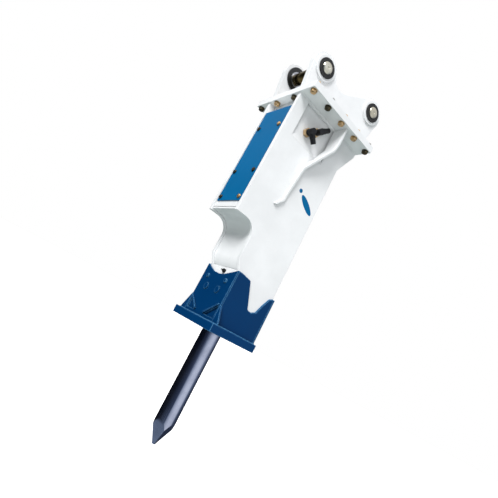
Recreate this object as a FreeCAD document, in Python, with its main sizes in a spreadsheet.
import FreeCAD
import Part
import Sketcher
import math
import os

# Hydraulic breaker hammer: a boxed power cell with a two-pin coupling bracket.
# Lengths are in millimetres. The origin is the centre of the arm pin, +Z runs up the tool axis,
# Y runs along both pins and X across the wide faces of the box.
# Outlines are written from the tool axis and from the underside of the bottom flange, and each
# body is then placed by "tool_axis_x" and "arm_pin_height".

DIMENSIONS = [
    ("tool_axis_x", 310, "tool axis from the arm pin, across"),
    ("arm_pin_height", 2020, "arm pin above the bottom flange underside"),
    ("link_pin_x", 260, "link pin from the tool axis"),
    ("link_pin_height", 2105, "link pin above the bottom flange underside"),
    ("gap", 0.3, "assembly gap between curved faces"),
    ("run_fit", 0.06, "running clearance on radius"),
    # chisel
    ("tool_radius", 70, "chisel radius"),
    ("tool_below", 800, "chisel length below the bottom flange"),
    ("tool_top", 560, "top of the chisel, hanging"),
    ("tool_travel", 60, "chisel travel"),
    ("tool_bevel", 6, "chamfer on the chisel's struck end"),
    ("point_blunt", 8, "half width of the blunted point"),
    ("point_wide", 80, "half width of the point pyramid at its top"),
    ("point_height", 200, "height of the point pyramid"),
    ("point_turn", 31, "turn of the point facets about the tool axis, degrees"),
    ("flat_depth", 20, "depth of the retainer flats"),
    # box
    ("box_left", -395, "upper box, left edge"),
    ("box_right", 205, "box, right edge"),
    ("box_haunch", 300, "top right corner of the flared side plate"),
    ("haunch_low", 1500, "start of the flare"),
    ("haunch_high", 1690, "end of the flare"),
    ("box_top", 1726, "top flange underside"),
    ("side_outer", 188, "outer face of a side plate"),
    ("side_thick", 28, "side plate thickness"),
    ("step_under", 757, "underside of the step in the side plates"),
    ("step_waist", -205, "waist of the side plates under the step"),
    ("step_round", 105, "radius under the step"),
    ("waist_low", 505, "lower end of the waist"),
    ("shoe_left", -160, "lower box, left edge"),
    ("shoe_seat", 432, "height where the lower box starts"),
    ("wall_recess", 12, "setback of the narrow walls"),
    ("wall_thick", 18, "narrow wall thickness"),
    ("notch_thick", 14, "curved notch plate thickness"),
    ("wall_jog", 40, "inward jog of the upper wall"),
    ("upper_wall_low", 787, "lower end of the upper narrow wall"),
    ("panel_low", 831, "coloured strip, lower end"),
    ("panel_high", 1625, "coloured strip, upper end"),
    ("panel_half", 148, "coloured strip, half width"),
    ("panel_thick", 8, "coloured strip thickness"),
    # port recess
    ("window_left", -300, "port recess, left"),
    ("window_right", 40, "port recess, right"),
    ("window_low", 1430, "port recess, lower edge"),
    ("recess_depth", 20, "port recess depth"),
    ("recess_slope", 70, "height of the sloping part of the recess"),
    ("recess_thick", 8, "recess pan thickness"),
    # flanges
    ("flange_left", -407, "top flange, left edge"),
    ("flange_right", 310, "top flange, right edge"),
    ("flange_half", 329, "top flange, half depth"),
    ("flange_thick", 24, "top flange thickness"),
    ("base_thick", 26, "bracket base plate thickness"),
    ("foot_left", -205, "bottom flange, left edge"),
    ("foot_right", 180, "bottom flange, right edge"),
    ("foot_half", 277, "bottom flange, half depth"),
    ("foot_thick", 55, "bottom flange thickness"),
    ("foot_bore", 112, "hole in the bottom flange"),
    # shoe
    ("shoe_thick", 12, "shoe plate thickness"),
    ("shoe_high", 426, "shoe plate, outer corner height"),
    ("shoe_mid", 372, "shoe plate, dip on the narrow face"),
    ("shoe_right_high", 388, "shoe plate, right hand height"),
    ("pocket_low", 80, "corner pocket, lower edge"),
    ("pocket_high", 165, "corner pocket, upper end"),
    ("pocket_out", 186, "corner pocket, outer side"),
    ("pocket_in", 70, "corner pocket, inner side"),
    # bracket
    ("ear_outer", 180, "outer face of an ear plate"),
    ("ear_thick", 45, "ear plate thickness"),
    ("ear_radius", 120, "ear head radius"),
    ("boss_radius", 96, "boss collar radius"),
    ("boss_thick", 14, "outer boss collar thickness"),
    ("inner_boss_thick", 12, "inner boss collar thickness"),
    ("bush_radius", 60, "ear bushing outer radius"),
    ("pin_radius", 45, "pin radius"),
    ("seal_radius", 74, "seal ring outer radius"),
    ("seal_thick", 9, "seal ring thickness"),
    ("pin_stand", 7, "pin end beyond the seal ring"),
    ("keeper_thick", 16, "keeper plate thickness"),
    ("keeper_half", 32, "keeper plate half width"),
    ("keeper_bolt_radius", 10, "keeper bolt radius"),
    ("keeper_bolt_at", 135, "keeper bolt from the pin centre"),
    ("pin_groove", 2, "width of the grooves that bound the pin's working length"),
    ("pin_groove_depth", 1, "depth of those grooves"),
    # power cell
    ("cell_half", 128, "half width of the power cell blocks"),
    ("head_low", 79, "front head, lower face"),
    ("head_high", 600, "front head, upper face"),
    ("nose_radius", 108, "front head nose radius"),
    ("nose_low", 6, "front head nose, lower face"),
    ("bush_outer", 94, "tool bushing outer radius"),
    ("outer_bush_high", 175, "outer bushing, upper face"),
    ("inner_bush_low", 370, "inner bushing, lower face"),
    ("inner_bush_high", 540, "inner bushing, upper face"),
    ("thrust_low", 541, "thrust ring, lower face"),
    ("thrust_radius", 98, "thrust ring outer radius"),
    ("retainer_radius", 25, "retainer pin radius"),
    ("retainer_height", 262, "retainer pin height"),
    ("retainer_half", 110, "retainer pin half length"),
    ("cylinder_high", 1250, "cylinder, upper face"),
    ("piston_low", 640, "piston striking face, lowest"),
    ("piston_radius", 62, "piston lower radius"),
    ("piston_head_low", 880, "piston head, lower end"),
    ("piston_head_high", 1000, "piston head, upper end"),
    ("piston_head_radius", 72, "piston head radius"),
    ("piston_rod_radius", 52, "piston upper radius"),
    ("piston_high", 1310, "piston, upper end"),
    ("seal_house_low", 660, "seal retainer, lower face"),
    ("seal_house_high", 790, "seal retainer, upper face"),
    ("seal_house_radius", 92, "seal retainer outer radius"),
    ("groove_depth", 8, "seal groove depth"),
    ("groove_high", 12, "seal groove height"),
    ("chamber_low", 830, "piston head chamber, lower end"),
    ("sleeve_low", 1150, "valve sleeve, lower face"),
    ("sleeve_radius", 100, "valve sleeve outer radius"),
    ("spool_radius", 84, "valve spool outer radius"),
    ("spool_low", 1158, "valve spool, lower face"),
    ("spool_high", 1208, "valve spool, upper face"),
    ("back_high", 1520, "back head, upper face"),
    ("gas_low", 1290, "gas chamber, lower end"),
    ("gas_high", 1480, "gas chamber, upper end"),
    ("gas_radius", 82, "gas chamber radius"),
    ("tie_at", 101, "through bolt from the tool axis, each way"),
    ("tie_radius", 16, "through bolt radius"),
    ("tie_low", 360, "through bolt, lower end"),
    ("tie_stand", 62, "through bolt stand above the back head"),
    ("tie_nut_radius", 27, "through bolt nut, across corners half"),
    ("tie_nut_high", 40, "through bolt nut height"),
    ("damper_low", 1590, "top damper, lower face"),
    ("damper_half", 120, "top damper half width"),
    ("pad_thick", 22, "side pad thickness"),
    # accumulator
    ("accu_height", 1080, "accumulator axis height"),
    ("accu_radius", 92, "accumulator radius"),
    ("accu_seat", -129, "accumulator seat face"),
    ("accu_split", -200, "accumulator split face"),
    ("accu_end", -300, "accumulator cover end"),
    ("accu_wall", 20, "accumulator wall"),
    # ports
    ("pressure_x", -190, "pressure port, across"),
    ("pressure_height", 1540, "pressure port height"),
    ("return_x", -125, "return port, across"),
    ("return_height", 1590, "return port height"),
    ("adapter_radius", 21, "port adapter radius"),
    ("collar_radius", 33, "hex collar, half across corners"),
    ("collar_low", 169, "hex collar, inner face from the mid-plane"),
    ("collar_high", 196, "hex collar, outer face from the mid-plane"),
    ("elbow_radius", 24, "elbow body radius"),
    ("elbow_at", 226, "elbow corner from the mid-plane"),
    ("heel_radius", 21.5, "elbow radius where the branch leaves"),
    ("branch_radius", 19, "elbow branch radius"),
    ("branch_long", 88, "elbow branch length"),
    # hose guard
    ("guard_thick", 18, "hose guard thickness"),
    ("guard_reach", 112, "hose guard reach from the side plate"),
    ("guard_x", 35, "hose guard, upper run"),
    ("guard_bend", 1530, "hose guard, upper bend height"),
    ("guard_knee_x", -85, "hose guard, knee"),
    ("guard_knee", 1290, "hose guard, knee height"),
    ("guard_end_x", -105, "hose guard, lower run"),
    ("guard_end", 1010, "hose guard, lower bend height"),
    ("guard_tip_x", -150, "hose guard, tip"),
    ("guard_tip", 955, "hose guard, tip height"),
    ("guard_slim", 16, "hose guard reach at the tip"),
    # fasteners
    ("flange_bolt_radius", 13, "flange bolt radius"),
    ("flange_head", 23, "flange bolt head, half across corners"),
    ("flange_head_high", 17, "flange bolt head height"),
    ("washer_thick", 5, "washer thickness"),
    ("washer_radius", 25, "washer radius"),
    ("bolt_inset", 32, "flange bolt edge distance"),
    ("small_bolt_radius", 8, "small bolt radius"),
    ("small_head", 15, "small bolt head, half across corners"),
    ("small_head_high", 10, "small bolt head height"),
    # bolt patterns
    ("flange_bolt_pitch", 165, "flange bolt spacing along the box"),
    ("panel_bolt_low", 30, "lower strip panel bolts above the panel's lower edge"),
    ("panel_bolt_mid", 245, "middle strip panel bolts above the panel's lower edge"),
    ("panel_bolt_top", 160, "upper strip panel bolts below the panel's upper edge"),
    ("shoe_bolt_side", 121, "shoe bolts from the middle plane"),
    ("shoe_bolt_height", 336, "shoe bolt height"),
    ("grease_side", 30, "grease fitting from the middle plane"),
    ("grease_over", 30, "grease fitting above the dip of the narrow shoe plate"),
    # upper edge of the wide shoe plates, from the right to the left
    ("shoe_rise_x", 173, "foot of the right horn, across"),
    ("shoe_rise_z", 373, "foot of the right horn, height"),
    ("shoe_bank_x", 141, "right bank of the dip, across"),
    ("shoe_bank_z", 311, "right bank of the dip, height"),
    ("shoe_turn_x", 114, "right turn of the dip, across"),
    ("shoe_turn_z", 245, "right turn of the dip, height"),
    ("shoe_dip_x", 78, "bottom of the dip, across"),
    ("shoe_dip_z", 229, "bottom of the dip, height"),
    ("shoe_left_turn_x", 40, "left turn of the dip, across"),
    ("shoe_left_turn_z", 235, "left turn of the dip, height"),
    ("shoe_crest_x", 46, "top of the left bank, across"),
    ("shoe_crest_z", 412, "top of the left bank, height"),
    ("shoe_ridge_x", 123, "ridge near the corner, across"),
    ("shoe_ridge_z", 425, "ridge near the corner, height"),
    ("narrow_far_y", 84, "far end of the dip in the narrow shoe plate"),
    ("narrow_far_z", 380, "height of that end"),
    ("narrow_mid_y", 9, "bottom of that dip from the middle plane"),
    ("narrow_near_y", 56, "near end of that dip"),
    ("narrow_near_z", 378, "height of that end"),
    ("foot_gusset_in", 12, "foot gusset inside the flange edge, and its top width"),
    ("foot_gusset_toe", 14, "foot gusset height at its toe"),
    ("foot_gusset_high", 118, "foot gusset height at the shoe"),
    ("guard_ease", 60, "length over which the guard's outer edge eases"),
    # saddle between the ear heads
    ("saddle_link_x", 92, "saddle end from the link pin, across"),
    ("saddle_link_z", 70, "saddle end above the link pin"),
    ("saddle_mid_x", 2, "saddle middle from the tool axis"),
    ("saddle_mid_z", 28, "saddle middle above the arm pin"),
    ("saddle_fall_x", 70, "falling side of the saddle, across"),
    ("saddle_fall_z", 8, "falling side of the saddle below the arm pin"),
    ("saddle_low_x", 125, "lowest point of the saddle, across"),
    ("saddle_low_z", 20, "lowest point of the saddle below the arm pin"),
    ("saddle_rise_x", 165, "rising side of the saddle, across"),
    ("saddle_arm_x", 102, "saddle end from the arm pin, across"),
    ("saddle_arm_z", 60, "saddle end above the arm pin"),
    ("keeper_lap", 12, "keeper plate beyond the pin's edge"),
    ("keeper_bolt_grip", 30, "keeper bolt length inside the ear"),
    ("cross_web_x", 40, "cross web from the tool axis"),
    ("cross_web_thick", 25, "cross web thickness"),
    ("cross_web_high", 95, "cross web height"),
    ("ear_gusset_x", 150, "ear gussets from the tool axis, each way"),
    ("ear_gusset_out", 78, "ear gusset reach at its foot"),
    ("ear_gusset_toe", 12, "ear gusset height at its toe"),
    ("ear_gusset_lip", 10, "ear gusset reach at its top"),
    ("ear_gusset_high", 96, "ear gusset height"),
    ("ear_gusset_thick", 20, "ear gusset thickness"),
    # small internal steps
    ("dust_seal_up", 18, "dust seal groove above the retainer's lower face"),
    ("packing_up", 52, "packing groove above that face"),
    ("buffer_up", 88, "buffer seal groove above that face"),
    ("sleeve_lift", 8, "valve sleeve above its seat"),
    ("spool_clear", 3, "valve spool bore around the piston"),
    ("spool_land", 16, "valve spool land length"),
    ("spool_relief", 6, "depth between the spool lands"),
    ("gas_valve_drop", 60, "gas valve below the top of the chamber"),
    ("gas_valve_deep", 34, "gas valve stem inside the head"),
    ("gas_valve_long", 60, "gas valve stem length"),
    ("gas_valve_hex_thick", 16, "gas valve hexagon thickness"),
    ("pad_low", 690, "lower side pads, lower edge"),
    ("pad_high", 1235, "upper side pads, lower edge"),
    ("pad_half", 90, "side pad half width"),
    ("pad_long", 150, "side pad height"),
    ("accu_port_radius", 12, "accumulator oil port radius"),
    ("accu_neck", 18, "accumulator neck length"),
    ("accu_shoulder", 30, "accumulator shoulder from its seat"),
    ("accu_floor", 36, "accumulator bowl floor from its seat"),
    ("accu_rim", 40, "accumulator cover rim past the split"),
    ("accu_dome", 24, "accumulator cover dome start past the split"),
    ("accu_lip", 8, "accumulator lip depth past the split"),
    ("accu_seat_lip", 6, "accumulator diaphragm rim thickness"),
    ("sheet_thin", 3, "diaphragm sag at half radius"),
    ("sheet_mid", 12, "diaphragm upper face at half radius"),
    ("sheet_high", 15, "diaphragm upper face at the middle"),
    ("port_block_left", 45, "port block beyond the pressure port"),
    ("port_block_out", 22, "port block thickness outside the cell"),
    ("port_block_low", 1400, "port block, lower face"),
    ("port_block_high", 1655, "port block, upper face"),
    ("port_block_right", 60, "port block right face from the tool axis"),
    ("adapter_set_in", 2, "adapter tubes clear of the cell"),
]

FULL_TURN = 360
HALF = 0.5
AXIS_TURNS = {
    "Z": FreeCAD.Rotation(),
    "X": FreeCAD.Rotation(FreeCAD.Vector(0, 1, 0), 90),
    "-X": FreeCAD.Rotation(FreeCAD.Vector(0, 1, 0), -90),
    "Y": FreeCAD.Rotation(FreeCAD.Vector(1, 0, 0), -90),
    "-Y": FreeCAD.Rotation(FreeCAD.Vector(1, 0, 0), 90),
    "-Z": FreeCAD.Rotation(FreeCAD.Vector(1, 0, 0), 180),
    "X-Z": FreeCAD.Rotation(FreeCAD.Vector(0, 1, 0), 135),
    "X+Z": FreeCAD.Rotation(FreeCAD.Vector(0, 1, 0), 45),
}


class Term:
    """A driving dimension, or a formula of them: its value and its sheet expression."""

    def __init__(self, value, text):
        self.value = value
        self.text = text

    def _join(self, other, sign, value):
        return Term(value, "({} {} {})".format(self.text, sign, term(other).text))

    def __add__(self, other):
        return self._join(other, "+", self.value + term(other).value)

    def __radd__(self, other):
        return term(other) + self

    def __sub__(self, other):
        return self._join(other, "-", self.value - term(other).value)

    def __rsub__(self, other):
        return term(other) - self

    def __mul__(self, other):
        return self._join(other, "*", self.value * term(other).value)

    def __rmul__(self, other):
        return self * other

    def __neg__(self):
        return Term(-self.value, "(0 - {})".format(self.text))


def term(number):
    """A plain number as a Term."""
    if isinstance(number, Term):
        return number
    return Term(float(number), "{:.6f}".format(float(number)))


class Sizes:
    """The driving dimensions by name."""


doc = FreeCAD.newDocument("HydraulicBreaker")
sheet = doc.addObject("Spreadsheet::Sheet", "Sizes")
D = Sizes()
for row, (alias, number, meaning) in enumerate(DIMENSIONS, start=1):
    sheet.set("A{}".format(row), meaning)
    sheet.set("B{}".format(row), str(number))
    sheet.setAlias("B{}".format(row), alias)
    setattr(D, alias, Term(float(number), "Sizes.{}".format(alias)))
doc.recompute()

NODES = []


def node(label, obj):
    """Keeps one finished sub-part under its own label."""
    obj.Label = label
    NODES.append(obj)
    return obj


def bind(obj, prop, size):
    """Binds one property of an object to a formula of the sheet."""
    obj.setExpression(prop, term(size).text)


def place(obj, x, y, height, turn="Z"):
    """Places an object by a point given from the tool axis and the bottom flange underside."""
    base = (D.tool_axis_x + x, term(y), term(height) - D.arm_pin_height)
    start = FreeCAD.Vector(base[0].value, base[1].value, base[2].value)
    obj.Placement = FreeCAD.Placement(start, AXIS_TURNS[turn])
    for letter, size in zip("xyz", base):
        bind(obj, "Placement.Base.{}".format(letter), size)
    return obj


def origin_plane(body, role):
    """The body's own origin plane with the given role."""
    for feature in body.Origin.OriginFeatures:
        if feature.Role == role:
            return feature
    raise RuntimeError("no plane " + role)


def point_lock(sketch, geometry, place_code, spot, axes="xy"):
    """Dimensions one sketch point from the sketch origin."""
    for letter, kind, size in zip("xy", ("DistanceX", "DistanceY"), spot):
        if letter not in axes:
            continue
        size = term(size)
        lock = Sketcher.Constraint(kind, -1, 1, geometry, place_code, size.value)
        index = sketch.addConstraint(lock)
        bind(sketch, "Constraints[{}]".format(index), size)


def draw_outline(sketch, outline):
    """Draws a closed outline. A point may name the centre of the arc that leads on from it."""
    corners = [(term(item[0]), term(item[1])) for item in outline]
    vectors = [FreeCAD.Vector(x.value, y.value, 0) for x, y in corners]
    count = len(outline)
    first = sketch.GeometryCount
    reversed_arcs = set()
    for index, item in enumerate(outline):
        start = vectors[index]
        end = vectors[(index + 1) % count]
        if len(item) == 2:
            sketch.addGeometry(Part.LineSegment(start, end), False)
            continue
        centre = FreeCAD.Vector(term(item[2]).value, term(item[3]).value, 0)
        circle = Part.Circle(centre, FreeCAD.Vector(0, 0, 1), (start - centre).Length)
        angles = [math.atan2(spot.y - centre.y, spot.x - centre.x) for spot in (start, end)]
        if (angles[1] - angles[0]) % (2 * math.pi) > math.pi:
            angles.reverse()
            reversed_arcs.add(index)
        if angles[1] < angles[0]:
            angles[1] += 2 * math.pi
        sketch.addGeometry(Part.ArcOfCircle(circle, angles[0], angles[1]), False)
    for index in range(count):
        following = (index + 1) % count
        here = 1 if index in reversed_arcs else 2
        there = 2 if following in reversed_arcs else 1
        joint = Sketcher.Constraint("Coincident", first + index, here, first + following, there)
        sketch.addConstraint(joint)
    for index, item in enumerate(outline):
        code = 2 if index in reversed_arcs else 1
        point_lock(sketch, first + index, code, corners[index])
        if len(item) > 2:
            point_lock(sketch, first + index, 3, (item[2], item[3]), "x")


def new_sketch(body, role, name):
    """A sketch on one of the body's own origin planes."""
    sketch = body.newObject("Sketcher::SketchObject", name)
    sketch.AttachmentSupport = [(origin_plane(body, role), "")]
    sketch.MapMode = "FlatFace"
    return sketch


def plate(label, role, outline, thick, at, circles=(), windows=()):
    """A flat plate: an outline padded along the plane's normal, with holes and windows cut."""
    body = doc.addObject("PartDesign::Body", label + "_body")
    sketch = new_sketch(body, role, label + "_outline")
    draw_outline(sketch, outline)
    pad = body.newObject("PartDesign::Pad", label + "_pad")
    pad.Profile = sketch
    pad.Length = term(thick).value
    bind(pad, "Length", thick)
    place(body, *at)
    doc.recompute()
    if circles or windows:
        whole = body.Shape.Volume
        cuts = new_sketch(body, role, label + "_cuts")
        for x, y, radius in circles:
            centre = FreeCAD.Vector(term(x).value, term(y).value, 0)
            circle = Part.Circle(centre, FreeCAD.Vector(0, 0, 1), term(radius).value)
            index = cuts.addGeometry(circle, False)
            point_lock(cuts, index, 3, (x, y))
            lock = cuts.addConstraint(Sketcher.Constraint("Radius", index, term(radius).value))
            bind(cuts, "Constraints[{}]".format(lock), radius)
        for window in windows:
            draw_outline(cuts, window)
        pocket = body.newObject("PartDesign::Pocket", label + "_pocket")
        pocket.Profile = cuts
        pocket.Type = "ThroughAll"
        pocket.Reversed = True
        doc.recompute()
        if body.Shape.Volume >= whole:
            raise RuntimeError("nothing was cut from " + label)
    return node(label, body)


def loose_plate(*plan, **cuts):
    """A flat plate that becomes part of another node."""
    body = plate(*plan, **cuts)
    NODES.remove(body)
    return body


def turned(label, profile, at, turn="Z", keep=True):
    """A turned piece: a profile of (radius, height) points revolved about the sketch's upright."""
    body = doc.addObject("PartDesign::Body", label + "_body")
    sketch = new_sketch(body, "XZ_Plane", label + "_profile")
    draw_outline(sketch, profile)
    revolution = body.newObject("PartDesign::Revolution", label + "_turn")
    revolution.Profile = sketch
    revolution.ReferenceAxis = (sketch, ["V_Axis"])
    revolution.Angle = FULL_TURN
    place(body, *at, turn)
    if keep:
        node(label, body)
    return body


def ring_profile(inner, outer, low, high):
    """The profile of a plain ring."""
    return [(inner, low), (outer, low), (outer, high), (inner, high)]


def ring(label, inner, outer, low, high, at=(0, 0, 0), turn="Z", keep=True):
    """A plain ring about the tool axis, or about the given point."""
    return turned(label, ring_profile(inner, outer, low, high), at, turn, keep)


def block(name, low, high):
    """A box between two corners."""
    box = doc.addObject("Part::Box", name)
    for prop, start, end in zip(("Length", "Width", "Height"), low, high):
        bind(box, prop, term(end) - start)
    return place(box, *low)


def rod(name, radius, length, at, turn="Z"):
    """A plain cylinder from a point along an axis."""
    cylinder = doc.addObject("Part::Cylinder", name)
    bind(cylinder, "Radius", radius)
    bind(cylinder, "Height", length)
    return place(cylinder, *at, turn)


def hexagon(name, radius, length, at, turn="Z"):
    """A hexagonal prism from a point along an axis."""
    prism = doc.addObject("Part::Prism", name)
    prism.Polygon = 6
    bind(prism, "Circumradius", radius)
    bind(prism, "Height", length)
    return place(prism, *at, turn)


def fused(name, pieces):
    """Several shapes made one."""
    fuse = doc.addObject("Part::MultiFuse", name)
    fuse.Shapes = pieces
    fuse.Refine = True
    return fuse


def cut_from(name, base, tools):
    """A shape less its tools."""
    cut = doc.addObject("Part::Cut", name)
    cut.Base = base
    cut.Tool = tools[0] if len(tools) == 1 else fused(name + "_tools", tools)
    return cut


def group(label, pieces):
    """Separate solids that are alike, kept as one node."""
    compound = doc.addObject("Part::Compound", label + "_group")
    compound.Links = pieces
    return node(label, compound)


def bolt(name, head, head_high, shank, shank_long, at, turn):
    """A hexagon headed bolt. Its head stands along the axis from the seat and its shank goes back."""
    back = {"Z": "-Z", "-Z": "Z", "X": "-X", "-X": "X", "Y": "-Y", "-Y": "Y"}[turn]
    top = hexagon(name + "_head", head, head_high, at, turn)
    stem = rod(name + "_shank", shank, shank_long, at, back)
    return fused(name, [top, stem])


# ---------------------------------------------------------------- box housing

SIDE_INNER = D.side_outer - D.side_thick
WALL_HALF = SIDE_INNER
STEP_CENTRE_X = D.step_waist - D.step_round
STEP_CENTRE_Z = D.step_under - D.step_round


def side_outline():
    """The side plate: a wide upper box, a rounded step, a waist and the lower box."""
    return [
        (D.shoe_left, D.foot_thick),
        (D.box_right, D.foot_thick),
        (D.box_right, D.haunch_low),
        (D.box_haunch, D.haunch_high),
        (D.box_haunch, D.box_top),
        (D.box_left, D.box_top),
        (D.box_left, D.step_under),
        (STEP_CENTRE_X, D.step_under, STEP_CENTRE_X, STEP_CENTRE_Z),
        (D.step_waist, STEP_CENTRE_Z),
        (D.step_waist, D.waist_low),
        (D.shoe_left, D.shoe_seat),
    ]


port_window = [
    (D.window_left, D.window_low),
    (D.window_right, D.window_low),
    (D.window_right, D.box_top - D.wall_recess),
    (D.window_left, D.box_top - D.wall_recess),
]
plate("side_plate_near", "XZ_Plane", side_outline(), D.side_thick,
      (0, -SIDE_INNER, 0), windows=[port_window])
plate("side_plate_far", "XZ_Plane", side_outline(), D.side_thick, (0, D.side_outer, 0))

# The pan behind the port window starts flush at its lower edge and slopes back under the flange.
PAN_FRONT = D.recess_depth - D.side_outer
pan_low = D.window_low
pan_outline = [
    (-D.side_outer, pan_low),
    (PAN_FRONT, pan_low + D.recess_slope),
    (PAN_FRONT, D.box_top - D.wall_recess),
    (PAN_FRONT + D.recess_thick, D.box_top - D.wall_recess),
    (PAN_FRONT + D.recess_thick, pan_low + D.recess_slope),
    (D.recess_thick - D.side_outer, pan_low),
]
pan_body = loose_plate("port_recess_blank", "YZ_Plane", pan_outline,
                 D.window_right - D.window_left, (D.window_left, 0, 0))
pan_holes = [
    rod("pan_hole_pressure", D.adapter_radius + D.gap, D.side_outer, (D.pressure_x, 0, D.pressure_height),
        "-Y"),
    rod("pan_hole_return", D.adapter_radius + D.gap, D.side_outer, (D.return_x, 0, D.return_height), "-Y"),
]
node("port_recess_pan", cut_from("port_recess_cut", pan_body, pan_holes))

FLANGE_BOLT_XS = [D.flange_left + D.bolt_inset + D.flange_bolt_pitch * step for step in range(4)]
FLANGE_BOLT_XS.append(D.flange_right - D.bolt_inset)
FLANGE_BOLT_Y = D.flange_half - D.bolt_inset
FLANGE_BOLT_MID = FLANGE_BOLT_Y * (1.0 / 3.0)
flange_spots = [(x, y) for y in (-FLANGE_BOLT_Y, FLANGE_BOLT_Y) for x in FLANGE_BOLT_XS]
flange_spots += [(FLANGE_BOLT_XS[0], y) for y in (-FLANGE_BOLT_MID, FLANGE_BOLT_MID)]
BASE_LOW = D.box_top + D.flange_thick
BASE_HIGH = BASE_LOW + D.base_thick


def flange_outline():
    """The rectangle shared by the top flange and the bracket base plate."""
    return [
        (D.flange_left, -D.flange_half),
        (D.flange_right, -D.flange_half),
        (D.flange_right, D.flange_half),
        (D.flange_left, D.flange_half),
    ]


flange_holes = [(x, y, D.flange_bolt_radius + D.gap) for x, y in flange_spots]
plate("top_flange", "XY_Plane", flange_outline(), D.flange_thick, (0, 0, D.box_top), circles=flange_holes)
plate("bracket_base_plate", "XY_Plane", flange_outline(), D.base_thick, (0, 0, BASE_LOW),
      circles=flange_holes)

flange_bolts = []
flange_nuts = []
flange_washers = []
for number, (x, y) in enumerate(flange_spots):
    long = D.base_thick + D.flange_thick + D.washer_thick + D.flange_head_high * 1.3
    flange_bolts.append(bolt("flange_bolt_{}".format(number), D.flange_head, D.flange_head_high,
                             D.flange_bolt_radius, long, (x, y, BASE_HIGH), "Z"))
    nut = hexagon("flange_nut_solid_{}".format(number), D.flange_head, D.flange_head_high,
                  (x, y, D.box_top - D.washer_thick), "-Z")
    hole = rod("flange_nut_hole_{}".format(number), D.flange_bolt_radius + D.gap, D.flange_head_high,
               (x, y, D.box_top - D.washer_thick), "-Z")
    flange_nuts.append(cut_from("flange_nut_{}".format(number), nut, [hole]))
    washer = rod("flange_washer_solid_{}".format(number), D.washer_radius, D.washer_thick,
                 (x, y, D.box_top), "-Z")
    hole = rod("flange_washer_hole_{}".format(number), D.flange_bolt_radius + D.gap, D.washer_thick,
               (x, y, D.box_top), "-Z")
    flange_washers.append(cut_from("flange_washer_{}".format(number), washer, [hole]))
group("flange_bolts", flange_bolts)
group("flange_nuts", flange_nuts + flange_washers)

# Narrow walls between the side plates.
UPPER_WALL_X = D.box_left + D.wall_recess
panel_spots = [(sign * (D.panel_half - D.small_head * 2), height)
               for height in (D.panel_low + D.panel_bolt_low, D.panel_low + D.panel_bolt_mid,
                              D.panel_high - D.panel_bolt_top)
               for sign in (-1, 1)]
panel_holes = [(y, height, D.small_bolt_radius + D.gap) for y, height in panel_spots]
# The upper wall jogs inwards above the coloured strip, clear of the flange bolts.
WALL_BACK = UPPER_WALL_X + D.wall_thick
JOG_LOW = D.panel_high + D.wall_recess
wall_outline = [
    (UPPER_WALL_X, D.upper_wall_low),
    (WALL_BACK, D.upper_wall_low),
    (WALL_BACK, JOG_LOW - D.wall_thick * HALF),
    (WALL_BACK + D.wall_jog, JOG_LOW + D.wall_jog - D.wall_thick * HALF),
    (WALL_BACK + D.wall_jog, D.box_top),
    (UPPER_WALL_X + D.wall_jog, D.box_top),
    (UPPER_WALL_X + D.wall_jog, JOG_LOW + D.wall_jog),
    (UPPER_WALL_X, JOG_LOW),
]
wall_blank = loose_plate("upper_wall_blank", "XZ_Plane", wall_outline, WALL_HALF * 2, (0, WALL_HALF, 0))
wall_drills = [rod("upper_wall_drill_{}".format(k), D.small_bolt_radius + D.gap, D.wall_thick,
                   (UPPER_WALL_X, y, height), "X") for k, (y, height) in enumerate(panel_spots)]
node("upper_wall", cut_from("upper_wall_cut", wall_blank, wall_drills))
panel_outline = [
    (-D.panel_half, D.panel_low),
    (D.panel_half, D.panel_low),
    (D.panel_half, D.panel_high),
    (-D.panel_half, D.panel_high),
]
plate("strip_panel", "YZ_Plane", panel_outline, D.panel_thick, (UPPER_WALL_X - D.panel_thick, 0, 0),
      circles=panel_holes)
panel_bolts = [
    bolt("strip_bolt_{}".format(number), D.small_head, D.small_head_high, D.small_bolt_radius,
         D.panel_thick + D.wall_thick + D.small_head_high, (UPPER_WALL_X - D.panel_thick, y, height), "-X")
    for number, (y, height) in enumerate(panel_spots)
]
right_outline = [
    (-WALL_HALF, D.foot_thick),
    (WALL_HALF, D.foot_thick),
    (WALL_HALF, D.box_top),
    (-WALL_HALF, D.box_top),
]
plate("right_wall", "YZ_Plane", right_outline, D.wall_thick, (D.box_right - D.wall_thick, 0, 0))

# The curved plate that closes the step and the waist between the side plates.
NOTCH_OUT = D.step_under + D.wall_recess
NOTCH_WAIST = D.step_waist + D.wall_recess
LOWER_WALL_X = D.shoe_left
notch_outline = [
    (D.box_left + D.wall_recess, NOTCH_OUT),
    (STEP_CENTRE_X, NOTCH_OUT, STEP_CENTRE_X, STEP_CENTRE_Z),
    (NOTCH_WAIST, STEP_CENTRE_Z),
    (NOTCH_WAIST, D.waist_low),
    (LOWER_WALL_X, D.shoe_seat + D.gap),
    (LOWER_WALL_X + D.wall_thick, D.shoe_seat + D.gap),
    (NOTCH_WAIST + D.notch_thick, D.waist_low + D.notch_thick * HALF),
    (NOTCH_WAIST + D.notch_thick, STEP_CENTRE_Z, STEP_CENTRE_X, STEP_CENTRE_Z),
    (STEP_CENTRE_X, NOTCH_OUT + D.notch_thick),
    (D.box_left + D.wall_recess, NOTCH_OUT + D.notch_thick),
]
plate("notch_plate", "XZ_Plane", notch_outline, WALL_HALF * 2, (0, WALL_HALF, 0))

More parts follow.
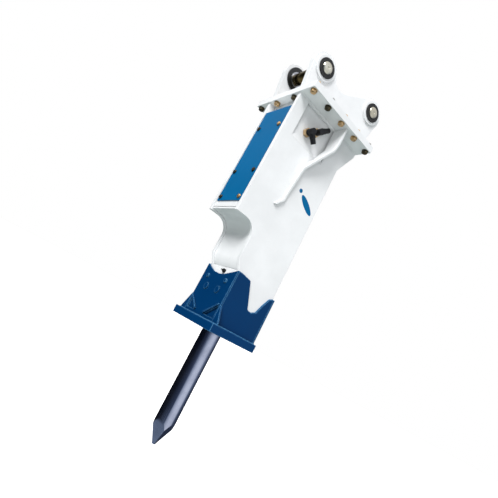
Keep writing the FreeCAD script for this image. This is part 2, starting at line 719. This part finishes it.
# Lower narrow wall, with holes for the retainer plugs and the grease fitting.
RETAINER_Y = D.tool_radius - D.flat_depth + D.retainer_radius + 1
plug_holes = [(sign * RETAINER_Y, D.retainer_height, D.retainer_radius + D.gap) for sign in (-1, 1)]
GREASE_Y = -D.grease_side
GREASE_HEIGHT = D.shoe_mid + D.grease_over
lower_outline = [
    (-WALL_HALF, D.foot_thick),
    (WALL_HALF, D.foot_thick),
    (WALL_HALF, D.shoe_seat),
    (-WALL_HALF, D.shoe_seat),
]
grease_hole = [(GREASE_Y, GREASE_HEIGHT, D.small_bolt_radius + D.gap)]
shoe_bolt_spots = [(sign * D.shoe_bolt_side, D.shoe_bolt_height) for sign in (-1, 1)]
shoe_bolt_holes = [(y, height, D.small_bolt_radius + D.gap) for y, height in shoe_bolt_spots]
plate("lower_wall", "YZ_Plane", lower_outline, D.wall_thick, (LOWER_WALL_X, 0, 0),
      circles=plug_holes + grease_hole + shoe_bolt_holes)

# ---------------------------------------------------------------- shoe and bottom flange

foot_outline = [
    (D.foot_left, -D.foot_half),
    (D.foot_right, -D.foot_half),
    (D.foot_right, D.foot_half),
    (D.foot_left, D.foot_half),
]
plate("bottom_flange", "XY_Plane", foot_outline, D.foot_thick, (0, 0, 0), circles=[(0, 0, D.foot_bore)])

shoe_outline = [
    (D.shoe_left, D.foot_thick),
    (D.box_right, D.foot_thick),
    (D.box_right, D.shoe_right_high),
    (D.shoe_rise_x, D.shoe_rise_z),
    (D.shoe_bank_x, D.shoe_bank_z),
    (D.shoe_turn_x, D.shoe_turn_z),
    (D.shoe_dip_x, D.shoe_dip_z),
    (D.shoe_left_turn_x, D.shoe_left_turn_z),
    (-D.shoe_crest_x, D.shoe_crest_z),
    (-D.shoe_ridge_x, D.shoe_ridge_z),
    (D.shoe_left, D.shoe_high),
]
group("shoe_plates_wide", [
    loose_plate("shoe_plate_near", "XZ_Plane", shoe_outline, D.shoe_thick, (0, -D.side_outer, 0)),
    loose_plate("shoe_plate_far", "XZ_Plane", shoe_outline, D.shoe_thick,
                (0, D.side_outer + D.shoe_thick, 0)),
])

SHOE_OUT = D.side_outer + D.shoe_thick
narrow_outline = [
    (-SHOE_OUT, D.foot_thick),
    (SHOE_OUT, D.foot_thick),
    (SHOE_OUT, D.shoe_high),
    (D.narrow_far_y, D.narrow_far_z),
    (-D.narrow_mid_y, D.shoe_mid),
    (-D.narrow_near_y, D.narrow_near_z),
    (-SHOE_OUT, D.shoe_high),
]
corner_pockets = [
    [(sign * D.pocket_out, D.pocket_low), (sign * D.pocket_out, D.pocket_high),
     (sign * D.pocket_in, D.pocket_low)]
    for sign in (-1, 1)
]
plate("shoe_plate_narrow", "YZ_Plane", narrow_outline, D.shoe_thick, (D.shoe_left - D.shoe_thick, 0, 0),
      circles=plug_holes + shoe_bolt_holes, windows=corner_pockets)
right_shoe = [
    (-SHOE_OUT, D.foot_thick),
    (SHOE_OUT, D.foot_thick),
    (SHOE_OUT, D.shoe_right_high),
    (-SHOE_OUT, D.shoe_right_high),
]
plate("shoe_plate_right", "YZ_Plane", right_shoe, D.shoe_thick, (D.box_right, 0, 0))
panel_bolts += [
    bolt("shoe_bolt_{}".format(number), D.small_head, D.small_head_high, D.small_bolt_radius,
         D.shoe_thick + D.wall_thick, (D.shoe_left - D.shoe_thick, y, height), "-X")
    for number, (y, height) in enumerate(shoe_bolt_spots)
]
group("panel_bolts", panel_bolts)


foot_gussets = []
for sign in (-1, 1):
    triangle = [
        (sign * SHOE_OUT, D.foot_thick),
        (sign * (D.foot_half - D.foot_gusset_in), D.foot_thick),
        (sign * (D.foot_half - D.foot_gusset_in), D.foot_thick + D.foot_gusset_toe),
        (sign * (SHOE_OUT + D.foot_gusset_in), D.foot_thick + D.foot_gusset_high),
        (sign * SHOE_OUT, D.foot_thick + D.foot_gusset_high),
    ]
    name = "near" if sign < 0 else "far"
    foot_gussets.append(loose_plate("foot_gusset_" + name, "YZ_Plane", triangle, D.shoe_thick,
                                    (D.shoe_left - D.shoe_thick, 0, 0)))

# Diagonal ribs over the corner pockets of the narrow shoe plate.
for sign in (-1, 1):
    rib = [
        (sign * D.pocket_out, D.pocket_high + 4),
        (sign * (D.pocket_in - 6), D.pocket_low + 2),
        (sign * (D.pocket_in - 16), D.pocket_low + 12),
        (sign * D.pocket_out, D.pocket_high + 18),
    ]
    name = "near" if sign < 0 else "far"
    foot_gussets.append(loose_plate("shoe_rib_" + name, "YZ_Plane", rib, D.shoe_thick,
                                    (D.shoe_left - D.shoe_thick * 2, 0, 0)))
group("shoe_gussets", foot_gussets)

# Grease fitting through the lower wall.
fitting = [
    rod("grease_stem", D.small_bolt_radius, D.wall_thick + D.shoe_thick,
        (D.shoe_left + D.wall_thick, GREASE_Y,
        GREASE_HEIGHT), "-X"),
    hexagon("grease_hex", D.small_head, D.small_head_high * 1.6, (D.shoe_left, GREASE_Y, GREASE_HEIGHT),
            "-X"),
    rod("grease_nipple", D.small_head_high * HALF, D.small_head_high * 3.2,
        (D.shoe_left, GREASE_Y, GREASE_HEIGHT),
        "-X"),
]
node("grease_fitting", fused("grease_fused", fitting))

# ---------------------------------------------------------------- hose guard

guard_outline = [
    (D.guard_x - D.guard_thick, D.box_top),
    (D.guard_x - D.guard_thick, D.guard_bend + 6),
    (D.guard_knee_x - D.guard_thick, D.guard_knee + 6),
    (D.guard_end_x - D.guard_thick, D.guard_end + 8),
    (D.guard_tip_x - D.guard_thick, D.guard_tip),
    (D.guard_tip_x, D.guard_tip),
    (D.guard_end_x, D.guard_end),
    (D.guard_knee_x, D.guard_knee),
    (D.guard_x, D.guard_bend),
    (D.guard_x, D.box_top),
]
guard_blank = loose_plate("hose_guard_blank", "XZ_Plane", guard_outline, D.guard_reach, (0, -D.side_outer, 0))
SIDE_FACE = -D.side_outer
slope_outline = [
    (SIDE_FACE - D.guard_reach - 1, D.guard_tip - 1),
    (SIDE_FACE - D.guard_slim, D.guard_tip - 1),
    (SIDE_FACE - D.guard_slim, D.guard_end + D.guard_ease),
    (SIDE_FACE - D.guard_slim * 2, D.guard_knee),
    (SIDE_FACE - D.guard_reach, D.guard_bend + D.guard_ease),
    (SIDE_FACE - D.guard_reach - 1, D.guard_bend + D.guard_ease),
]
slope_cut = loose_plate("hose_guard_slope", "YZ_Plane", slope_outline, D.guard_x * 8, (D.guard_x * -6, 0, 0))
node("hose_guard", cut_from("hose_guard_cut", guard_blank, [slope_cut]))

# ---------------------------------------------------------------- coupling bracket

EAR_HEADS = [(-D.tool_axis_x, D.arm_pin_height), (D.link_pin_x, D.link_pin_height)]
# Each keeper plate leans inwards and down from its pin, along a 3-4-5 slope.
KEEPER_SIDE = (1, -1)
KEEPER_X = 0.6
KEEPER_Z = 0.8


def ear(label, back):
    """One ear plate: a saddle between two round heads, bored for its bushings."""
    arm_x, arm_z = EAR_HEADS[0]
    link_x, link_z = EAR_HEADS[1]
    outline = [
        (D.box_left, BASE_HIGH),
        (D.box_haunch, BASE_HIGH),
        (link_x + D.ear_radius, link_z),
        (link_x, link_z),
        (link_x - D.saddle_link_x, link_z + D.saddle_link_z),
        (-D.saddle_mid_x, D.arm_pin_height + D.saddle_mid_z),
        (-D.saddle_fall_x, D.arm_pin_height - D.saddle_fall_z),
        (-D.saddle_low_x, D.arm_pin_height - D.saddle_low_z),
        (-D.saddle_rise_x, D.arm_pin_height),
        (arm_x + D.saddle_arm_x, arm_z + D.saddle_arm_z),
        (arm_x, arm_z),
        (arm_x - D.ear_radius, arm_z),
    ]
    web = loose_plate(label + "_web", "XZ_Plane", outline, D.ear_thick, (0, back, 0))
    heads = [rod("{}_head_{}".format(label, k), D.ear_radius, D.ear_thick, (x, back, z), "-Y")
             for k, (x, z) in enumerate(EAR_HEADS)]
    bores = [rod("{}_bore_{}".format(label, k), D.bush_radius + D.gap, D.ear_thick, (x, back, z), "-Y")
             for k, (x, z) in enumerate(EAR_HEADS)]
    outward = -1 if label.endswith("near") else 1
    drills = []
    if outward > 0:
        drills = [rod("{}_drill_{}".format(label, k), D.keeper_bolt_radius + D.gap, D.ear_thick,
                      (x + KEEPER_SIDE[k] * D.keeper_bolt_at * KEEPER_X, back,
                       z - D.keeper_bolt_at * KEEPER_Z), "-Y")
                  for k, (x, z) in enumerate(EAR_HEADS)]
    node(label, cut_from(label + "_cut", fused(label + "_blank", [web] + heads), bores + drills))


EAR_INNER = D.ear_outer - D.ear_thick
ear("ear_plate_near", -EAR_INNER)
ear("ear_plate_far", D.ear_outer)

PIN_NEAR = -(D.ear_outer + D.boss_thick + D.seal_thick + D.pin_stand)
PIN_FAR = D.ear_outer + D.boss_thick + D.seal_thick
GAP_HALF = EAR_INNER - D.inner_boss_thick
collars = []
bushings = []
seals = []
for name, (x, z) in zip(("arm", "link"), EAR_HEADS):
    spots = (x, 0, z)
    for side, turn in (("near", "-Y"), ("far", "Y")):
        tag = "{}_{}".format(name, side)
        collars.append(ring(tag + "_outer_collar", D.bush_radius + D.gap, D.boss_radius, D.ear_outer,
                            D.ear_outer + D.boss_thick, spots, turn, keep=False))
        collars.append(ring(tag + "_inner_collar", D.bush_radius + D.gap, D.boss_radius,
                            EAR_INNER - D.inner_boss_thick, EAR_INNER, spots, turn, keep=False))
        bushings.append(ring(tag + "_bushing", D.pin_radius + D.run_fit, D.bush_radius,
                             EAR_INNER - D.inner_boss_thick, D.ear_outer + D.boss_thick, spots, turn,
                             keep=False))
        seals.append(ring(tag + "_seal", D.pin_radius + D.gap, D.seal_radius, D.ear_outer + D.boss_thick,
                          D.ear_outer + D.boss_thick + D.seal_thick, spots, turn, keep=False))
    soft = 3
    pin_profile = [(0, 0), (D.pin_radius - soft, 0), (D.pin_radius, soft)]
    for edge in (-GAP_HALF, GAP_HALF - D.pin_groove):
        low = edge - PIN_NEAR
        high = low + D.pin_groove
        pin_profile += [(D.pin_radius, low), (D.pin_radius - D.pin_groove_depth, low),
                        (D.pin_radius - D.pin_groove_depth, high), (D.pin_radius, high)]
    pin_profile += [(D.pin_radius, PIN_FAR - PIN_NEAR), (0, PIN_FAR - PIN_NEAR)]
    turned(name + "_pin", pin_profile, (x, PIN_NEAR, z), "Y")
group("ear_boss_collars", collars)
group("ear_bushings", bushings)
group("pin_seal_rings", seals)

# Keeper plates on the far ends of the pins, each held by one bolt into the far ear.
for k, (name, (x, z)) in enumerate(zip(("arm", "link"), EAR_HEADS)):
    bolt_x = x + KEEPER_SIDE[k] * D.keeper_bolt_at * KEEPER_X
    bolt_z = z - D.keeper_bolt_at * KEEPER_Z
    cap = rod(name + "_keeper_cap", D.pin_radius + D.keeper_lap, D.keeper_thick, (x, PIN_FAR, z), "Y")
    tab = rod(name + "_keeper_tab", D.keeper_half * 0.8, D.keeper_thick, (bolt_x, PIN_FAR, bolt_z), "Y")
    start = D.keeper_half * 0.8
    lean_x = KEEPER_Z * KEEPER_SIDE[k]
    lean_z = KEEPER_X
    strap_outline = [
        (x + start * lean_x, z + start * lean_z),
        (x - start * lean_x, z - start * lean_z),
        (bolt_x - start * lean_x, bolt_z - start * lean_z),
        (bolt_x + start * lean_x, bolt_z + start * lean_z),
    ]
    strap = loose_plate(name + "_keeper_strap", "XZ_Plane", strap_outline, D.keeper_thick,
                        (0, PIN_FAR + D.keeper_thick, 0))
    drill = rod(name + "_keeper_drill", D.keeper_bolt_radius + D.gap, D.keeper_thick,
                (bolt_x, PIN_FAR, bolt_z), "Y")
    blank = fused(name + "_keeper_blank", [cap, tab, strap])
    node(name + "_pin_keeper", cut_from(name + "_keeper_cut", blank, [drill]))
    node(name + "_keeper_bolt", bolt(name + "_keeper_bolt_solid", D.small_head * 1.3, D.small_head_high * 1.3,
                                     D.keeper_bolt_radius,
                                     D.keeper_thick + D.seal_thick + D.boss_thick + D.keeper_bolt_grip,
                                     (bolt_x, PIN_FAR + D.keeper_thick, bolt_z), "Y"))

# A low web between the ears, and outside gussets.
ear_stiffeners = [block("cross_web", (-D.cross_web_x, -EAR_INNER, BASE_HIGH),
                        (D.cross_web_thick - D.cross_web_x, EAR_INNER, BASE_HIGH + D.cross_web_high))]
for sign in (-1, 1):
    for k, x in enumerate((-D.ear_gusset_x, D.ear_gusset_x)):
        triangle = [
            (sign * D.ear_outer, BASE_HIGH),
            (sign * (D.ear_outer + D.ear_gusset_out), BASE_HIGH),
            (sign * (D.ear_outer + D.ear_gusset_out), BASE_HIGH + D.ear_gusset_toe),
            (sign * (D.ear_outer + D.ear_gusset_lip), BASE_HIGH + D.ear_gusset_high),
            (sign * D.ear_outer, BASE_HIGH + D.ear_gusset_high),
        ]
        name = "ear_gusset_{}_{}".format("near" if sign < 0 else "far", k)
        ear_stiffeners.append(loose_plate(name, "YZ_Plane", triangle, D.ear_gusset_thick, (x, 0, 0)))
group("ear_stiffeners", ear_stiffeners)

# ---------------------------------------------------------------- power cell


def cell_block(label, low, high):
    """A square power cell block about the tool axis."""
    return block(label + "_block", (-D.cell_half, -D.cell_half, low), (D.cell_half, D.cell_half, high))


TIE_SPOTS = [(i * D.tie_at, j * D.tie_at) for i in (-1, 1) for j in (-1, 1)]


def tie_holes(label, low, high):
    """Clearance holes for the four through bolts."""
    return [rod("{}_tie_{}".format(label, k), D.tie_radius + D.gap, term(high) - low, (x, y, low))
            for k, (x, y) in enumerate(TIE_SPOTS)]


# Front head: nose, seats for both bushings, relief between them and the retainer pin holes.
nose = rod("head_nose", D.nose_radius, D.head_low - D.nose_low, (0, 0, D.nose_low))
head = fused("head_blank", [cell_block("head", D.head_low, D.head_high), nose])
RELIEF = D.tool_radius + 4
head_cuts = [
    rod("head_outer_seat", D.bush_outer + D.gap, D.outer_bush_high - D.nose_low + 1, (0, 0, D.nose_low - 1)),
    rod("head_relief", RELIEF, D.inner_bush_low - D.outer_bush_high, (0, 0, D.outer_bush_high)),
    rod("head_inner_seat", D.bush_outer + D.gap, D.thrust_low - D.inner_bush_low, (0, 0, D.inner_bush_low)),
    rod("head_thrust_seat", D.thrust_radius + D.gap, D.head_high - D.thrust_low, (0, 0, D.thrust_low)),
]
for sign, name in ((-1, "near"), (1, "far")):
    head_cuts.append(rod("head_retainer_" + name, D.retainer_radius + D.gap, D.cell_half * 2,
                         (-D.cell_half, sign * RETAINER_Y, D.retainer_height), "X"))
node("front_head", cut_from("head_cut", head, head_cuts + tie_holes("head", D.tie_low, D.head_high)))

TOOL_BORE = D.tool_radius + D.run_fit
ring("outer_bushing", TOOL_BORE, D.bush_outer, D.nose_low, D.outer_bush_high)
ring("inner_bushing", TOOL_BORE, D.bush_outer, D.inner_bush_low, D.inner_bush_high)
ring("thrust_ring", D.tool_radius + 2, D.thrust_radius, D.thrust_low, D.head_high)
group("retainer_pins", [
    rod("retainer_pin_" + name, D.retainer_radius, D.retainer_half * 2,
        (-D.retainer_half, sign * RETAINER_Y, D.retainer_height), "X")
    for sign, name in ((-1, "near"), (1, "far"))
])
PLUG_FROM = -D.retainer_half - 1
PLUG_LONG = D.shoe_thick - D.shoe_left + PLUG_FROM + 6
group("retainer_plugs", [
    rod("retainer_plug_" + name, D.retainer_radius - 0.2, PLUG_LONG,
        (PLUG_FROM, sign * RETAINER_Y, D.retainer_height),
        "-X")
    for sign, name in ((-1, "near"), (1, "far"))
])

# Bottom damper frame under the front head.
damper_block = block("bottom_damper_block", (-D.cell_half, -D.cell_half, D.foot_thick),
                     (D.cell_half, D.cell_half, D.head_low))
damper_hole = rod("bottom_damper_hole", D.foot_bore, D.head_low, (0, 0, 0))
node("bottom_damper", cut_from("bottom_damper_cut", damper_block, [damper_hole]))

# Chisel: a straight shank with two retainer flats and a four-sided blunted point.
FOOT = -D.tool_below
POINT_TOP = FOOT + D.point_height
shank = turned("tool_shank", [
    (0, POINT_TOP),
    (D.tool_radius, POINT_TOP),
    (D.tool_radius, D.tool_top - D.tool_bevel),
    (D.tool_radius - D.tool_bevel, D.tool_top),
    (0, D.tool_top),
], (0, 0, 0), keep=False)
point_rod = rod("tool_point_rod", D.tool_radius, D.point_height, (0, 0, FOOT))
pyramid = doc.addObject("Part::Wedge", "tool_point_pyramid")
for prop, size in (("Xmin", -D.point_wide), ("Xmax", D.point_wide), ("Zmin", -D.point_wide),
                   ("Zmax", D.point_wide),
                   ("X2min", -D.point_blunt), ("X2max", D.point_blunt), ("Z2min", -D.point_blunt),
                   ("Z2max", D.point_blunt), ("Ymin", 0), ("Ymax", D.point_height)):
    bind(pyramid, prop, size)
place(pyramid, 0, 0, POINT_TOP)
upright = FreeCAD.Rotation(FreeCAD.Vector(1, 0, 0), -90)
facing = FreeCAD.Rotation(FreeCAD.Vector(0, 0, 1), D.point_turn.value)
pyramid.Placement = FreeCAD.Placement(pyramid.Placement.Base, facing.multiply(upright))
point = doc.addObject("Part::Common", "tool_point")
point.Base = point_rod
point.Tool = pyramid
FLAT_LOW = D.retainer_height - D.retainer_radius - D.tool_travel - 4
FLAT_HIGH = D.retainer_height + D.retainer_radius + 1
flats = [
    block("tool_flat_near", (-D.tool_radius, -D.tool_radius, FLAT_LOW),
          (D.tool_radius, D.flat_depth - D.tool_radius, FLAT_HIGH)),
    block("tool_flat_far", (-D.tool_radius, D.tool_radius - D.flat_depth, FLAT_LOW),
          (D.tool_radius, D.tool_radius, FLAT_HIGH)),
]
node("chisel", cut_from("tool_cut", fused("tool_blank", [shank, point]), flats))

# Cylinder: seal seat, guide bore, piston head chamber and valve seat.
cylinder_cuts = [
    rod("cylinder_entry", D.thrust_radius, D.seal_house_low - D.head_high, (0, 0, D.head_high)),
    rod("cylinder_seal_seat", D.seal_house_radius + D.gap, D.seal_house_high - D.seal_house_low,
        (0, 0, D.seal_house_low)),
    rod("cylinder_guide", D.piston_radius + D.run_fit, D.chamber_low - D.seal_house_high,
        (0, 0, D.seal_house_high)),
    rod("cylinder_chamber", D.piston_head_radius + D.run_fit, D.sleeve_low - D.chamber_low,
        (0, 0, D.chamber_low)),
    rod("cylinder_valve_seat", D.sleeve_radius + D.gap, D.cylinder_high - D.sleeve_low, (0, 0, D.sleeve_low)),
]
node("cylinder", cut_from("cylinder_cut", cell_block("cylinder", D.head_high, D.cylinder_high),
                          cylinder_cuts + tie_holes("cylinder", D.head_high, D.cylinder_high)))

# Seal retainer with three grooves, and the seals in them.
SEAL_BORE = D.piston_radius + D.run_fit
GROOVE = SEAL_BORE + D.groove_depth
seal_names = ("dust_seal", "u_packing", "buffer_seal")
seal_floors = [D.seal_house_low + up for up in (D.dust_seal_up, D.packing_up, D.buffer_up)]
profile = [(SEAL_BORE, D.seal_house_low), (D.seal_house_radius, D.seal_house_low),
           (D.seal_house_radius, D.seal_house_high), (SEAL_BORE, D.seal_house_high)]
for floor in reversed(seal_floors):
    profile += [(SEAL_BORE, floor + D.groove_high), (GROOVE, floor + D.groove_high), (GROOVE, floor),
                (SEAL_BORE, floor)]
turned("seal_retainer", profile, (0, 0, 0))
group("piston_seals", [
    ring(name, D.piston_radius + D.run_fit, GROOVE - D.gap, floor + D.gap, floor + D.groove_high - D.gap,
         keep=False)
    for name, floor in zip(seal_names, seal_floors)
])

turned("piston", [
    (0, D.piston_low),
    (D.piston_radius - D.tool_bevel, D.piston_low),
    (D.piston_radius, D.piston_low + D.tool_bevel),
    (D.piston_radius, D.piston_head_low),
    (D.piston_head_radius, D.piston_head_low),
    (D.piston_head_radius, D.piston_head_high),
    (D.piston_rod_radius, D.piston_head_high),
    (D.piston_rod_radius, D.piston_high),
    (0, D.piston_high),
], (0, 0, 0))

turned("valve_sleeve", [
    (D.spool_radius + D.run_fit, D.sleeve_low + D.sleeve_lift),
    (D.sleeve_radius, D.sleeve_low + D.sleeve_lift),
    (D.sleeve_radius, D.cylinder_high),
    (D.spool_radius + D.run_fit, D.cylinder_high),
], (0, 0, 0))
turned("valve_spool", [
    (D.piston_rod_radius + D.spool_clear, D.spool_low),
    (D.spool_radius, D.spool_low),
    (D.spool_radius, D.spool_low + D.spool_land),
    (D.spool_radius - D.spool_relief, D.spool_low + D.spool_land),
    (D.spool_radius - D.spool_relief, D.spool_high - D.spool_land),
    (D.spool_radius, D.spool_high - D.spool_land),
    (D.spool_radius, D.spool_high),
    (D.piston_rod_radius + D.spool_clear, D.spool_high),
], (0, 0, 0))

# Back head with its gas chamber.
GAS_VALVE_Z = D.gas_high - D.gas_valve_drop
back_cuts = [
    rod("back_guide", D.piston_rod_radius + D.run_fit, D.gas_low - D.cylinder_high, (0, 0, D.cylinder_high)),
    rod("back_chamber", D.gas_radius, D.gas_high - D.gas_low, (0, 0, D.gas_low)),
    rod("gas_valve_hole", D.small_bolt_radius * 2 + D.gap, D.cell_half, (-D.cell_half, 0, GAS_VALVE_Z), "X"),
]
node("back_head", cut_from("back_cut", cell_block("back", D.cylinder_high, D.back_high),
                           back_cuts + tie_holes("back", D.cylinder_high, D.back_high)))
valve_parts = [
    rod("gas_valve_stem", D.small_bolt_radius * 2, D.gas_valve_long,
        (D.gas_valve_deep - D.cell_half, 0, GAS_VALVE_Z), "-X"),
    hexagon("gas_valve_hex", D.small_head * 1.6, D.gas_valve_hex_thick, (-D.cell_half, 0, GAS_VALVE_Z), "-X"),
]
node("gas_valve", fused("gas_valve_fused", valve_parts))

tie_bolts = []
tie_nuts = []
for k, (x, y) in enumerate(TIE_SPOTS):
    tie_bolts.append(rod("tie_bolt_{}".format(k), D.tie_radius, D.back_high + D.tie_stand - D.tie_low,
                         (x, y, D.tie_low)))
    nut = hexagon("tie_nut_solid_{}".format(k), D.tie_nut_radius, D.tie_nut_high, (x, y, D.back_high))
    hole = rod("tie_nut_hole_{}".format(k), D.tie_radius + D.gap, D.tie_nut_high, (x, y, D.back_high))
    tie_nuts.append(cut_from("tie_nut_{}".format(k), nut, [hole]))
group("through_bolts", tie_bolts)
group("through_bolt_nuts", tie_nuts)

# Suspension above and beside the power cell.
node("top_damper", block("top_damper_block", (-D.damper_half, -D.damper_half, D.damper_low),
                         (D.damper_half, D.damper_half, D.box_top)))
pads = []
for k, low in enumerate((D.pad_low, D.pad_high)):
    for sign, name in ((-1, "near"), (1, "far")):
        inner = D.cell_half
        outer = D.cell_half + D.pad_thick
        sides = (sign * inner, sign * outer) if sign > 0 else (-outer, -inner)
        pads.append(block("side_pad_{}_{}".format(name, k), (-D.pad_half, sides[0], low),
                          (D.pad_half, sides[1], low + D.pad_long)))
    pads.append(block("side_pad_right_{}".format(k), (D.cell_half, -D.pad_half, low),
                      (D.box_right - D.wall_thick, D.pad_half, low + D.pad_long)))
group("side_wear_pads", pads)

# ---------------------------------------------------------------- accumulator

ACCU = (0, 0, D.accu_height)
accu_outer = D.accu_radius
accu_inner = D.accu_radius - D.accu_wall
turned("accumulator_body", [
    (D.accu_port_radius, -D.accu_seat),
    (accu_outer * 0.7, -D.accu_seat),
    (accu_outer * 0.7, D.accu_neck - D.accu_seat),
    (accu_outer, D.accu_shoulder - D.accu_seat),
    (accu_outer, -D.accu_split),
    (accu_inner, -D.accu_split),
    (D.accu_port_radius, D.accu_floor - D.accu_seat),
], ACCU, "-X")
turned("accumulator_diaphragm", [
    (0, D.accu_seat_lip - D.accu_split),
    (accu_inner * HALF, D.sheet_thin - D.accu_split),
    (accu_outer - D.accu_lip, D.gap - D.accu_split),
    (accu_outer - D.accu_lip, D.accu_seat_lip - D.accu_split),
    (accu_inner * HALF, D.sheet_mid - D.accu_split),
    (0, D.sheet_high - D.accu_split),
], ACCU, "-X")
turned("accumulator_cover", [
    (0, -D.accu_end - D.accu_wall),
    (accu_inner * 0.55, -D.accu_end - D.accu_wall - D.accu_seat_lip),
    (accu_inner, D.accu_dome - D.accu_split),
    (accu_inner, D.accu_lip - D.accu_split),
    (accu_outer - D.accu_seat_lip, D.accu_lip - D.accu_split),
    (accu_outer - D.accu_seat_lip, D.gap - D.accu_split),
    (accu_outer, D.gap - D.accu_split),
    (accu_outer, D.accu_rim - D.accu_split),
    (accu_inner * 0.7, -D.accu_end),
    (0, -D.accu_end),
], ACCU, "-X")

# ---------------------------------------------------------------- hydraulic ports

PORTS = [
    ("pressure", D.pressure_x, D.pressure_height, "X-Z"),
    ("return", D.return_x, D.return_height, "X+Z"),
]
manifold = block("port_block_solid",
                 (D.pressure_x - D.port_block_left, -D.cell_half - D.port_block_out, D.port_block_low),
                 (-D.port_block_right, -D.cell_half - D.gap, D.port_block_high))
manifold_holes = [rod("port_block_hole_" + name, D.adapter_radius + D.gap, D.side_outer, (x, 0, z), "-Y")
                  for name, x, z, turn in PORTS]
node("port_block", cut_from("port_block_cut", manifold, manifold_holes))
collars = []
adapters = []
for name, x, z, turn in PORTS:
    adapters.append(rod(name + "_adapter_tube", D.adapter_radius,
                        D.collar_high - D.cell_half - D.adapter_set_in,
                        (x, -D.cell_half - D.adapter_set_in, z), "-Y"))
    nut = hexagon(name + "_collar_solid", D.collar_radius, D.collar_high - D.collar_low,
                  (x, -D.collar_low, z), "-Y")
    hole = rod(name + "_collar_hole", D.adapter_radius + D.gap, D.collar_high - D.collar_low,
               (x, -D.collar_low, z),
               "-Y")
    collars.append(cut_from(name + "_collar", nut, [hole]))
    trunk = rod(name + "_elbow_trunk", D.elbow_radius, D.elbow_at - D.collar_high + D.elbow_radius,
                (x, -D.collar_high, z), "-Y")
    branch = rod(name + "_elbow_branch", D.branch_radius, D.branch_long, (x, -D.elbow_at, z), turn)
    heel = rod(name + "_elbow_heel", D.heel_radius, D.elbow_radius * 2, (x, -D.elbow_at, z), turn)
    node(name + "_elbow", fused(name + "_elbow_fused", [trunk, branch, heel]))
group("port_collars", collars)
group("port_adapters", adapters)

# ---------------------------------------------------------------- check and write

doc.recompute()
faults = [obj.Name for obj in doc.Objects if "Invalid" in obj.State or "Error" in obj.State]
if faults:
    raise RuntimeError("failed objects: " + ", ".join(faults))
labels = [obj.Label for obj in NODES]
if len(set(labels)) != len(labels):
    raise RuntimeError("a label is used twice")
for obj in NODES:
    if obj.Shape.isNull() or not obj.Shape.isValid():
        raise RuntimeError("bad shape: " + obj.Label)
os.makedirs("parts", exist_ok=True)
for obj in NODES:
    obj.Shape.exportStep("parts/" + obj.Label + ".step")
    print("{:26s} solids {:2d}  volume {:12.0f}".format(obj.Label, len(obj.Shape.Solids), obj.Shape.Volume))
print("nodes", len(NODES))
